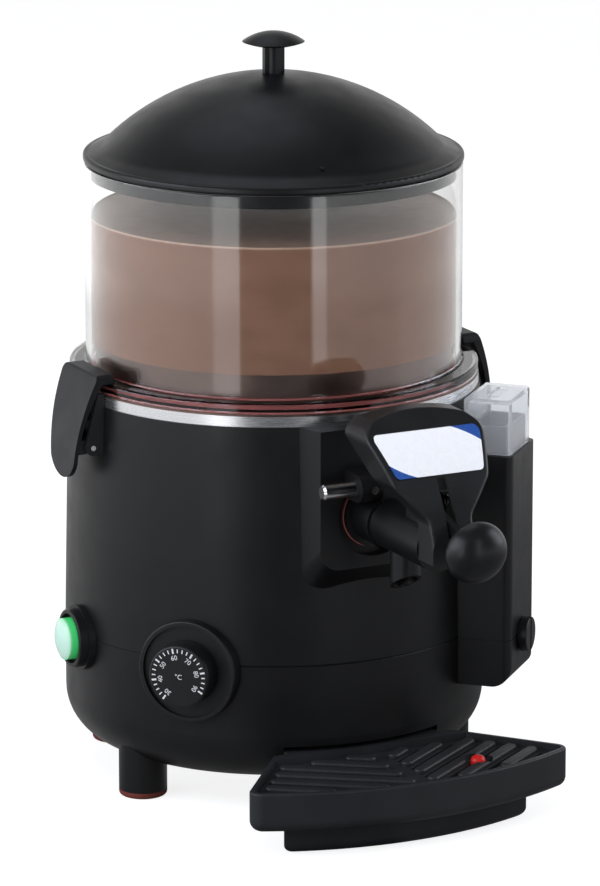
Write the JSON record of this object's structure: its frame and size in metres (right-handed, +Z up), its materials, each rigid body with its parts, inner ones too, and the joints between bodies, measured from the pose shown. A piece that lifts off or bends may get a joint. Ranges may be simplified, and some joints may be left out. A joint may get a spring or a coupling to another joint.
{
  "type": "hot chocolate dispenser",
  "caption": "Heated table-top dispenser with a clear stirred bowl under a domed lid, held by side latches, a lever tap with a hood, a water column and a pull-out drip tray.",
  "frame": {"origin": "centre of the whole object's bounding box at table level", "axes": "+Z up, -Y to the front where the tap is, +X to the right seen from the front"},
  "size_m": [0.2889, 0.4102, 0.46],
  "materials": {
    "black_plastic": "satin black moulded plastic",
    "clear_plastic": "clear polycarbonate",
    "pale_plastic": "smooth pale moulded plastic",
    "steel": "brushed stainless steel",
    "bright_steel": "bright stainless steel",
    "red_rubber": "red silicone",
    "red_plastic": "red plastic",
    "black_rubber": "black rubber",
    "green_plastic": "green lit push button",
    "white_label": "white printed plate",
    "motor_metal": "dark painted metal"
  },
  "bodies": {
    "machine": {"upper_housing": "black_plastic", "lower_housing": "black_plastic", "dial_collar": "black_plastic", "switch_bezel": "black_plastic", "cable_inlet": "black_plastic", "tap_barrel": "black_plastic", "tap_spout": "black_plastic", "tap_shield": "black_plastic", "water_column": "black_plastic", "thermostat": "black_plastic", "column_tank": "black_plastic", "switch_body": "black_plastic", "latch_bracket_left": "black_plastic", "latch_bracket_right": "black_plastic", "bowl": "clear_plastic", "rim_ring": "steel", "product_pan": "steel", "water_jacket": "steel", "base_plate": "steel", "heating_element": "steel", "motor_bracket": "steel", "shaft_tube": "steel", "water_pipe": "steel", "lever_pin": "bright_steel", "lever_spring": "bright_steel", "pin_lock_screw": "bright_steel", "latch_pins": "bright_steel", "bracket_screws": "bright_steel", "shield_screws": "bright_steel", "foot_screws": "bright_steel", "base_screws": "bright_steel", "bowl_gasket": "red_rubber", "tap_gasket": "red_rubber", "foot_pads": "black_rubber", "tap_o_rings": "black_rubber", "plug_seal": "black_rubber", "shaft_seal": "black_rubber", "label_plate": "white_label", "gear_motor": "motor_metal"},
    "lid": {"lid": "black_plastic", "lid_knob": "black_plastic", "knob_screw": "bright_steel"},
    "latch_left": {"latch_left": "black_plastic"},
    "latch_right": {"latch_right": "black_plastic"},
    "power_button": {"power_button": "green_plastic"},
    "dial": {"dial": "black_plastic"},
    "tap_lever": {"tap_lever": "black_plastic", "lever_knob": "black_plastic"},
    "tap_piston": {"tap_piston": "black_plastic", "piston_seals": "black_rubber"},
    "retaining_pin": {"retaining_pin": "bright_steel"},
    "drain_plug": {"drain_plug": "black_plastic"},
    "column_cover": {"column_cover": "clear_plastic"},
    "drip_tray": {"tray_base": "black_plastic", "drip_tray": "black_plastic"},
    "tray_grille": {"tray_grille": "black_plastic"},
    "tray_float": {"tray_float": "red_plastic"},
    "agitator": {"agitator": "pale_plastic", "drive_shaft": "steel"}
  },
  "joints": [
    {"name": "lid_lift", "type": "slide", "parent": "machine", "child": "lid", "axis": [0, 0, 1], "range_m": [0, 0.12]},
    {"name": "latch_left_swing", "type": "hinge", "parent": "machine", "child": "latch_left", "pos_m": [-0.13119, 0.07114, 0.219], "axis": [0, -1, 0], "range_deg": [0, 28]},
    {"name": "latch_right_swing", "type": "hinge", "parent": "machine", "child": "latch_right", "pos_m": [0.13321, 0.07114, 0.219], "axis": [0, 1, 0], "range_deg": [0, 28]},
    {"name": "power_press", "type": "slide", "parent": "machine", "child": "power_button", "axis": [0.9994, -0.0349, 0], "range_m": [0, 0.003], "stiffness_N_per_m": 400},
    {"name": "dial_turn", "type": "hinge", "parent": "machine", "child": "dial", "pos_m": [-0.09747, -0.01296, 0.092], "axis": [-0.7604, -0.6494, 0], "range_deg": [0, 270]},
    {"name": "lever_raise", "type": "hinge", "parent": "machine", "child": "tap_lever", "pos_m": [0.00101, -0.12885, 0.212], "axis": [-1, 0, 0], "range_deg": [0, 36], "stiffness_Nm_per_rad": 0.4, "springref_deg": -22.92},
    {"name": "piston_draw", "type": "slide", "parent": "machine", "child": "tap_piston", "axis": [0, -1, 0], "range_m": [0, 0.0142]},
    {"name": "pin_pull", "type": "slide", "parent": "machine", "child": "retaining_pin", "axis": [-1, 0, 0], "range_m": [0, 0.07]},
    {"name": "plug_turn", "type": "hinge", "parent": "machine", "child": "drain_plug", "pos_m": [0.11414, -0.04199, 0.095], "axis": [0.7071, -0.7071, 0], "continuous": true},
    {"name": "cover_lift", "type": "slide", "parent": "machine", "child": "column_cover", "axis": [0, 0, 1], "range_m": [0, 0.06]},
    {"name": "tray_pull", "type": "slide", "parent": "machine", "child": "drip_tray", "axis": [0, -1, 0], "range_m": [0, 0.13]},
    {"name": "grille_lift", "type": "slide", "parent": "drip_tray", "child": "tray_grille", "axis": [0, 0, 1], "range_m": [0, 0.05]},
    {"name": "float_rise", "type": "slide", "parent": "drip_tray", "child": "tray_float", "axis": [0, 0, 1], "range_m": [0, 0.003]},
    {"name": "agitator_spin", "type": "hinge", "parent": "machine", "child": "agitator", "pos_m": [0.00101, 0.07114, 0.2], "axis": [0, 0, 1], "continuous": true}
  ],
  "couplings": [
    {"joint": "piston_draw", "follows": "lever_raise", "m_per_rad": 0.0222}
  ]
}
